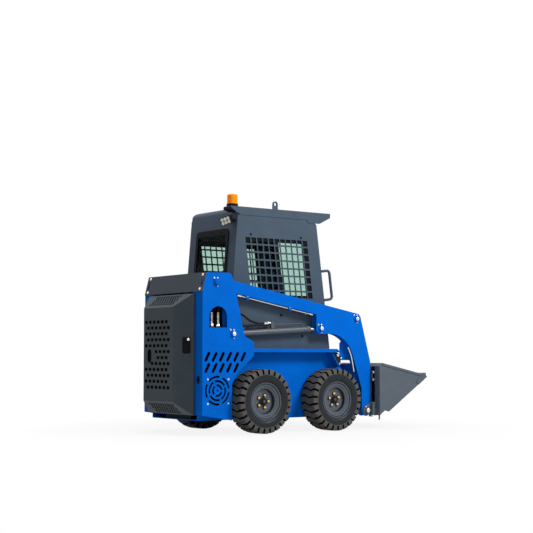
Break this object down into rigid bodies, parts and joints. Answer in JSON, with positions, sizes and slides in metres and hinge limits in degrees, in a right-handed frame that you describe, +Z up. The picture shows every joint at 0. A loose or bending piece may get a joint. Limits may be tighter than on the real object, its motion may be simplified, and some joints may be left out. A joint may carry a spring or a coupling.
{
  "type": "skid steer loader",
  "caption": "Compact wheeled skid steer loader with an enclosed meshed cab, radial lift arms, hinged doors and a tilting bucket.",
  "frame": {"origin": "centre of the bounding box in plan, on the ground under the tyres", "axes": "+X forward towards the bucket, +Y to the machine's left, +Z up"},
  "size_m": [2.7518, 1.2, 2.172],
  "materials": {
    "blue_paint": "gloss",
    "dark_grey_paint": "satin",
    "slate_paint": "satin",
    "bucket_grey": "satin",
    "cylinder_grey": "satin",
    "rod_chrome": "polished",
    "zinc": "satin",
    "cast_dark": "rough",
    "rim_grey": "satin",
    "tyre_rubber": "matte",
    "black_plastic": "matte",
    "seat_cover": "matte",
    "hose_rubber": "matte",
    "tinted_glass": "clear",
    "amber": "clear"
  },
  "bodies": {
    "chassis": {"chassis_tub": "blue_paint", "tower_right": "blue_paint", "tower_left": "blue_paint", "rear_frame": "blue_paint", "hood": "dark_grey_paint", "exhaust": "black_plastic", "engine_block": "cast_dark", "axle_stubs": "cast_dark", "cab_floor": "slate_paint", "cab_side_right": "slate_paint", "cab_side_left": "slate_paint", "cab_rear": "slate_paint", "cab_roof": "slate_paint", "cab_front": "slate_paint", "window_frames": "black_plastic", "side_glass": "tinted_glass", "rear_glass": "tinted_glass", "seat_base": "black_plastic", "seat_pads": "seat_cover", "controls": "black_plastic", "grab_handles": "slate_paint", "lifting_eyes": "slate_paint", "beacon_base": "black_plastic", "beacon_lens": "amber", "work_lamp": "black_plastic", "tower_hoses": "hose_rubber"},
    "rear_door": {"rear_door": "dark_grey_paint", "door_latch": "black_plastic"},
    "front_door": {"front_door": "black_plastic", "front_glass": "tinted_glass"},
    "lift_arms": {"arm_right": "blue_paint", "arm_left": "blue_paint", "cross_tube": "blue_paint", "arm_pipes": "zinc"},
    "lift_barrels": {"lift_barrels": "cylinder_grey", "lift_hoses": "hose_rubber"},
    "lift_rods": {"lift_rods": "rod_chrome"},
    "tilt_barrels": {"tilt_barrels": "cylinder_grey"},
    "tilt_rods": {"tilt_rods": "rod_chrome"},
    "bucket": {"coupler": "bucket_grey", "bucket": "bucket_grey"},
    "wheel_rear_right": {"rim_rear_right": "rim_grey", "tyre_rear_right": "tyre_rubber"},
    "wheel_rear_left": {"rim_rear_left": "rim_grey", "tyre_rear_left": "tyre_rubber"},
    "wheel_front_right": {"rim_front_right": "rim_grey", "tyre_front_right": "tyre_rubber"},
    "wheel_front_left": {"rim_front_left": "rim_grey", "tyre_front_left": "tyre_rubber"}
  },
  "joints": [
    {"name": "arm_lift", "type": "hinge", "parent": "chassis", "child": "lift_arms", "pos_m": [-1.06891, 0, 1.352], "axis": [0, -1, 0], "range_deg": [0, 66]},
    {"name": "bucket_tilt", "type": "hinge", "parent": "lift_arms", "child": "bucket", "pos_m": [0.67109, 0, 0.177], "axis": [0, 1, 0], "range_deg": [0, 135]},
    {"name": "rear_door_swing", "type": "hinge", "parent": "chassis", "child": "rear_door", "pos_m": [-1.22891, 0.388, 0.7], "axis": [0, 0, -1], "range_deg": [0, 110]},
    {"name": "front_door_swing", "type": "hinge", "parent": "chassis", "child": "front_door", "pos_m": [0.2166, 0.324, 1.3], "axis": [-0.1318, 0, 0.9913], "range_deg": [0, 90]},
    {"name": "lift_barrel_swing", "type": "hinge", "parent": "chassis", "child": "lift_barrels", "pos_m": [-0.89191, 0, 0.894], "axis": [0, -1, 0], "range_deg": [0, 61.21]},
    {"name": "lift_rod_slide", "type": "slide", "parent": "lift_barrels", "child": "lift_rods", "axis": [0.9982, 0, 0.0603], "range_m": [0, 0.5254]},
    {"name": "tilt_barrel_swing", "type": "hinge", "parent": "lift_arms", "child": "tilt_barrels", "pos_m": [0.55409, 0, 1.054], "axis": [0, -1, 0], "range_deg": [0, 2.69]},
    {"name": "tilt_rod_slide", "type": "slide", "parent": "tilt_barrels", "child": "tilt_rods", "axis": [0.1946, 0, -0.9809], "range_m": [0, 0.3711]},
    {"name": "wheel_spin_rear_right", "type": "hinge", "parent": "chassis", "child": "wheel_rear_right", "pos_m": [-0.59891, -0.495, 0.29], "axis": [0, 1, 0], "continuous": true},
    {"name": "wheel_spin_rear_left", "type": "hinge", "parent": "chassis", "child": "wheel_rear_left", "pos_m": [-0.59891, 0.495, 0.29], "axis": [0, 1, 0], "continuous": true},
    {"name": "wheel_spin_front_right", "type": "hinge", "parent": "chassis", "child": "wheel_front_right", "pos_m": [0.22509, -0.495, 0.29], "axis": [0, 1, 0], "continuous": true},
    {"name": "wheel_spin_front_left", "type": "hinge", "parent": "chassis", "child": "wheel_front_left", "pos_m": [0.22509, 0.495, 0.29], "axis": [0, 1, 0], "continuous": true}
  ],
  "couplings": [
    {"joint": "lift_barrel_swing", "follows": "arm_lift", "ratio": 0.91982},
    {"joint": "lift_rod_slide", "follows": "arm_lift", "m_per_rad": 0.45346},
    {"joint": "tilt_barrel_swing", "follows": "bucket_tilt", "ratio": 0.016207},
    {"joint": "tilt_rod_slide", "follows": "bucket_tilt", "m_per_rad": 0.15623}
  ]
}
